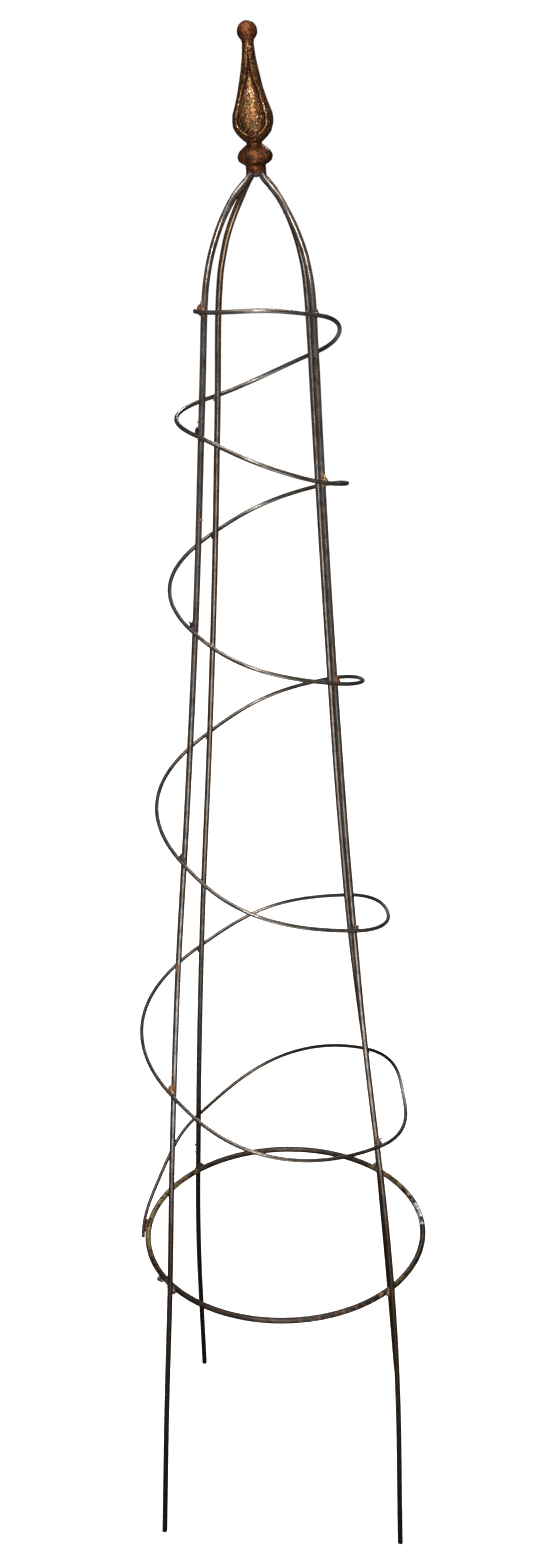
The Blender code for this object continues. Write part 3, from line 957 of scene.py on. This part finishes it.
def leg_material():
    r, colour, rusty, fine, drawn = steel_material(
        "leg_mill_scale", (0.062, 0.052, 0.047), (0.135, 0.117, 0.106), (0.20, 0.182, 0.168)
    )
    olive = r.blend(r.fit(drawn, 0.35, 0.65), (0.105, 0.060, 0.028), (0.200, 0.125, 0.062))
    colour = r.blend(r.maths("MULTIPLY", r.number("brown"), 0.95), colour, olive)
    black = r.blend(r.fit(fine, 0.35, 0.65), (0.018, 0.010, 0.006), (0.085, 0.048, 0.026))
    # Darker towards the bottom: the colour blends to near black at the foot.
    low_dark_share = r.fit(r.maths("ADD", r.number("low_darkening"), r.noise(0.02, 3.0)), 0.75, 1.45, 0.0, 0.88)
    colour = r.blend(low_dark_share, colour, black)
    return finish_steel(r, colour, rusty, fine, drawn, gloss=(0.24, 0.34), metal=0.8)


def spiral_material():
    r, colour, rusty, fine, drawn = steel_material(
        "spiral_wire_steel", (0.075, 0.062, 0.052), (0.125, 0.104, 0.088), (0.21, 0.185, 0.155)
    )
    black = r.blend(r.fit(fine, 0.35, 0.65), (0.014, 0.009, 0.006), (0.070, 0.046, 0.026))
    # Darker towards the bottom: the colour blends to near black low on the spiral.
    low_dark_share = r.fit(r.maths("ADD", r.number("low_darkening"), r.noise(0.02, 3.0)), 0.75, 1.45, 0.0, 0.88)
    colour = r.blend(low_dark_share, colour, black)
    # Painted highlight: pale silvery colour on the far right turns stands in for a glint.
    colour = r.blend(r.number("painted_glint"), colour, (0.66, 0.65, 0.63))
    return finish_steel(r, colour, rusty, fine, drawn, gloss=(0.24, 0.34), metal=0.8)


def ring_material():
    r, colour, rusty, fine, drawn = steel_material(
        "ring_rusted_steel", (0.012, 0.007, 0.005), (0.036, 0.020, 0.011), (0.075, 0.045, 0.026), -0.10
    )
    blotches = r.noise(0.006, 5.0, 0.7, distortion=0.6)
    tan = r.fit(r.maths("ADD", r.maths("MULTIPLY", r.number("tan"), 0.5), blotches), 0.66, 0.94)
    colour = r.blend(tan, colour, r.blend(r.fit(fine, 0.3, 0.7), (0.075, 0.042, 0.018), (0.42, 0.28, 0.12)))
    # Painted highlight: the pale silvery patch on the ring's right side stands in for a glint.
    painted_glint = r.fit(r.maths("ADD", r.maths("MULTIPLY", r.number("painted_glint"), 0.5), blotches), 0.70, 0.92)
    colour = r.blend(painted_glint, colour, (0.62, 0.60, 0.58))
    black = r.fit(r.noise(0.009, 4.0, 0.7, distortion=0.8), 0.47, 0.60)
    colour = r.blend(black, colour, (0.012, 0.009, 0.008))
    return finish_steel(r, colour, rusty, fine, drawn, gloss=(0.34, 0.55), metal=0.6)


def weld_material():
    r = Recipe("weld_bead_metal")
    fine = r.noise(0.0009, 5.0, 0.7)
    tint = r.maths("ADD", r.number("tint"), r.maths("MULTIPLY", r.noise(0.0022, 4.0, 0.7), 0.45))
    ramp = r.add("ShaderNodeValToRGB")
    stops = (
        (0.20, (0.020, 0.015, 0.014)),
        (0.38, (0.115, 0.095, 0.090)),
        (0.55, (0.200, 0.062, 0.028)),
        (0.78, (0.330, 0.170, 0.070)),
        (0.98, (0.560, 0.270, 0.040)),
        (1.18, (0.780, 0.740, 0.690)),
    )
    last = 1.3
    while len(ramp.color_ramp.elements) < len(stops):
        ramp.color_ramp.elements.new(0.5)
    for element, (where, colour) in zip(ramp.color_ramp.elements, stops):
        element.position = where / last
        element.color = (*colour, 1.0)
    r.link(r.maths("DIVIDE", tint, last), ramp.inputs["Fac"])
    flecks = r.fit(r.pits(0.0021), 0.05, 0.20, 1.0, 0.0)
    colour = r.blend(r.maths("MULTIPLY", flecks, 0.55), ramp.outputs["Color"], (0.70, 0.66, 0.62))
    r.drive("Base Color", colour)
    r.drive("Roughness", r.fit(fine, 0.3, 0.7, 0.25, 0.6))
    r.set("Metallic", 0.6)
    r.bump([(fine, 0.6, 0.0002), (r.noise(0.0025, 2.0), 0.4, 0.0003)])
    return r.material


def finial_material():
    """Rusted casting: brown, and golden where it is rubbed; the golden flecks are partly painted highlight.
    Silvery specks of painted highlight, painted shade of near black red in the panel grooves, black pits.
    """
    r = Recipe("finial_rusted_casting")
    coarse = r.noise(0.0065, 5.0, 0.65, distortion=0.4)
    fleck = r.noise(0.0021, 4.0, 0.7)
    sparks = r.noise(0.0013, 3.0, 0.6)
    grain = r.noise(0.00055, 3.0, 0.6)
    matte = r.number("matte")
    brown = r.blend(r.fit(coarse, 0.40, 0.62), (0.022, 0.006, 0.003), (0.135, 0.036, 0.009))
    orange = r.fit(fleck, 0.50, 0.60, 0.0, 0.85)
    rubbed = r.blend(orange, brown, (0.200, 0.088, 0.024))
    colour = r.blend(r.maths("MULTIPLY", matte, 0.8), rubbed, brown)
    # Golden flecks: partly golden rust, partly painted highlight specks.
    gold = r.maths("ADD", sparks, r.maths("MULTIPLY", matte, -0.10))
    colour = r.blend(r.fit(gold, 0.56, 0.62, 0.0, 0.8), colour, (0.400, 0.290, 0.110))
    # Painted highlight: silvery white specks on the body stand in for glossy reflections.
    painted_highlight = r.maths("ADD", r.noise(0.0015, 2.0, 0.5), r.maths("MULTIPLY", matte, -0.12))
    painted_highlight = r.fit(painted_highlight, 0.66, 0.72)
    colour = r.blend(painted_highlight, colour, (0.850, 0.810, 0.700))
    # Painted shade: the panel grooves are darkened to a near black red.
    colour = r.blend(r.fit(r.number("shaded_groove"), 0.30, 0.90), colour, (0.022, 0.004, 0.002))
    pits = r.fit(r.noise(0.0024, 4.0, 0.7), 0.42, 0.32)
    colour = r.blend(pits, colour, (0.012, 0.006, 0.004))
    r.drive("Base Color", colour)
    r.drive("Metallic", r.maths("ADD", r.maths("MULTIPLY", matte, -0.15), 0.85))
    shine = r.maths("ADD", r.fit(fleck, 0.4, 0.6, 0.50, 0.30), r.maths("MULTIPLY", matte, 0.12))
    r.drive("Roughness", r.maths("ADD", shine, r.maths("MULTIPLY", r.number("shaded_groove"), 0.35)))
    r.set("Specular IOR Level", 0.3)
    r.bump([(coarse, 0.4, 0.0006), (fleck, 0.7, 0.0005), (sparks, 0.4, 0.0003), (grain, 0.3, 0.00015)])
    return r.material


def stage_material():
    """The pale floor and wall."""
    r = Recipe("studio_white")
    soft = r.noise(0.9, 2.0)
    r.drive("Base Color", r.blend(soft, (0.86, 0.86, 0.86), (0.90, 0.90, 0.90)))
    r.set("Roughness", 0.9)
    r.set("Specular IOR Level", 0.1)
    r.set("Emission Color", (1.0, 1.0, 1.0, 1.0))
    r.set("Emission Strength", 0.97)
    return r.material


# ---------------------------------------------------------------- stage, lights and camera


def build_stage(material):
    """A round floor that curves up into a wall."""
    floor_radius, bend, wall_top = 8.0, 4.0, 14.0
    profile = [(0.0, 0.0), (1.0, 0.0), (3.0, 0.0), (floor_radius, 0.0)]
    for i in range(1, 13):
        angle = math.pi / 2 * i / 12
        profile.append((floor_radius + bend * math.sin(angle), bend * (1 - math.cos(angle))))
    profile.append((floor_radius + bend, wall_top))
    work = bmesh.new()
    chain = [work.verts.new((radius, 0.0, height - 0.0004)) for radius, height in profile]
    edges = [work.edges.new(pair) for pair in zip(chain, chain[1:])]
    bmesh.ops.spin(
        work, geom=chain + edges, axis=(0, 0, 1), cent=(0, 0, 0), angle=2 * math.pi, steps=64
    )
    bmesh.ops.remove_doubles(work, verts=work.verts, dist=0.0001)
    bmesh.ops.recalc_face_normals(work, faces=work.faces)
    mesh = bpy.data.meshes.new("studio_floor")
    work.to_mesh(mesh)
    work.free()
    floor = new_object("studio_floor", mesh, material)
    for ray in ("visible_diffuse", "visible_glossy", "visible_transmission", "visible_shadow"):
        setattr(floor, ray, False)


def area_light(name, place, target, size, power, colour=(1.0, 1.0, 1.0)):
    data = bpy.data.lights.new(name, "AREA")
    data.shape = "RECTANGLE"
    data.size, data.size_y = size
    data.energy = power
    data.color = colour
    lamp = bpy.data.objects.new(name, data)
    bpy.context.scene.collection.objects.link(lamp)
    lamp.location = place
    aim = Vector(target) - Vector(place)
    lamp.rotation_mode = "QUATERNION"
    lamp.rotation_quaternion = aim.to_track_quat("-Z", "Y")
    lamp.visible_camera = False


def build_lights():
    middle = (0.0, 0.0, 0.8)
    area_light("key", (-0.25, -2.6, 2.5), middle, (0.40, 1.2), 110)
    area_light("top", (0.0, -0.6, 4.2), middle, (3.4, 0.6), 130)
    area_light("low", (0.15, -2.4, 0.02), (0.15, -2.4, 1.0), (1.2, 3.2), 75)
    area_light("left", (-3.0, -1.0, 1.6), middle, (0.3, 2.2), 3)
    area_light("right", (3.0, -0.6, 1.6), middle, (0.3, 2.2), 3)
    area_light("back", (0.8, 3.2, 2.9), middle, (0.8, 0.5), 40)
    world = bpy.data.worlds.new("studio")
    bpy.context.scene.world = world
    world.use_nodes = True
    background = world.node_tree.nodes["Background"]
    background.inputs["Color"].default_value = (1.0, 1.0, 1.0, 1.0)
    background.inputs["Strength"].default_value = 0.03


def build_camera():
    data = bpy.data.cameras.new("camera")
    data.sensor_width = SENSOR_MM
    data.lens = LENS_MM
    data.clip_start, data.clip_end = 0.05, 60.0
    camera = bpy.data.objects.new("camera", data)
    bpy.context.scene.collection.objects.link(camera)
    yaw, pitch, roll = CAMERA_YAW, CAMERA_PITCH, CAMERA_ROLL
    forward = Vector((
        math.sin(yaw) * math.cos(pitch), math.cos(yaw) * math.cos(pitch), -math.sin(pitch)
    ))
    level = Vector((math.cos(yaw), -math.sin(yaw), 0.0))
    upright = level.cross(forward)
    right = level * math.cos(roll) + upright * math.sin(roll)
    up = upright * math.cos(roll) - level * math.sin(roll)
    turn = Matrix((right, up, -forward)).transposed()
    place = AXIS + Vector((CAMERA_SIDE, -CAMERA_DISTANCE, CAMERA_HEIGHT))
    camera.matrix_world = Matrix.Translation(place) @ turn.to_4x4()
    bpy.context.scene.camera = camera


# ---------------------------------------------------------------- the whole obelisk


def build():
    steel = leg_material()
    for name in LEG_AZIMUTHS:
        build_leg(name, steel)
    build_ring(ring_material())
    build_spiral(spiral_material())
    build_finial(finial_material())
    weld = weld_material()
    for quarter in range(SPIRAL_CROSSINGS):
        build_spiral_weld(quarter, weld)
    for name in LEG_AZIMUTHS:
        build_ring_weld(name, weld)
    build_end_weld(weld)
    for quarter in range(len(LEG_AZIMUTHS)):
        build_socket_weld(quarter, weld)
    build_spatter(weld)
    build_stage(stage_material())
    build_lights()
    build_camera()
    bpy.context.scene.view_settings.view_transform = "Standard"


build()
bpy.context.view_layer.update()
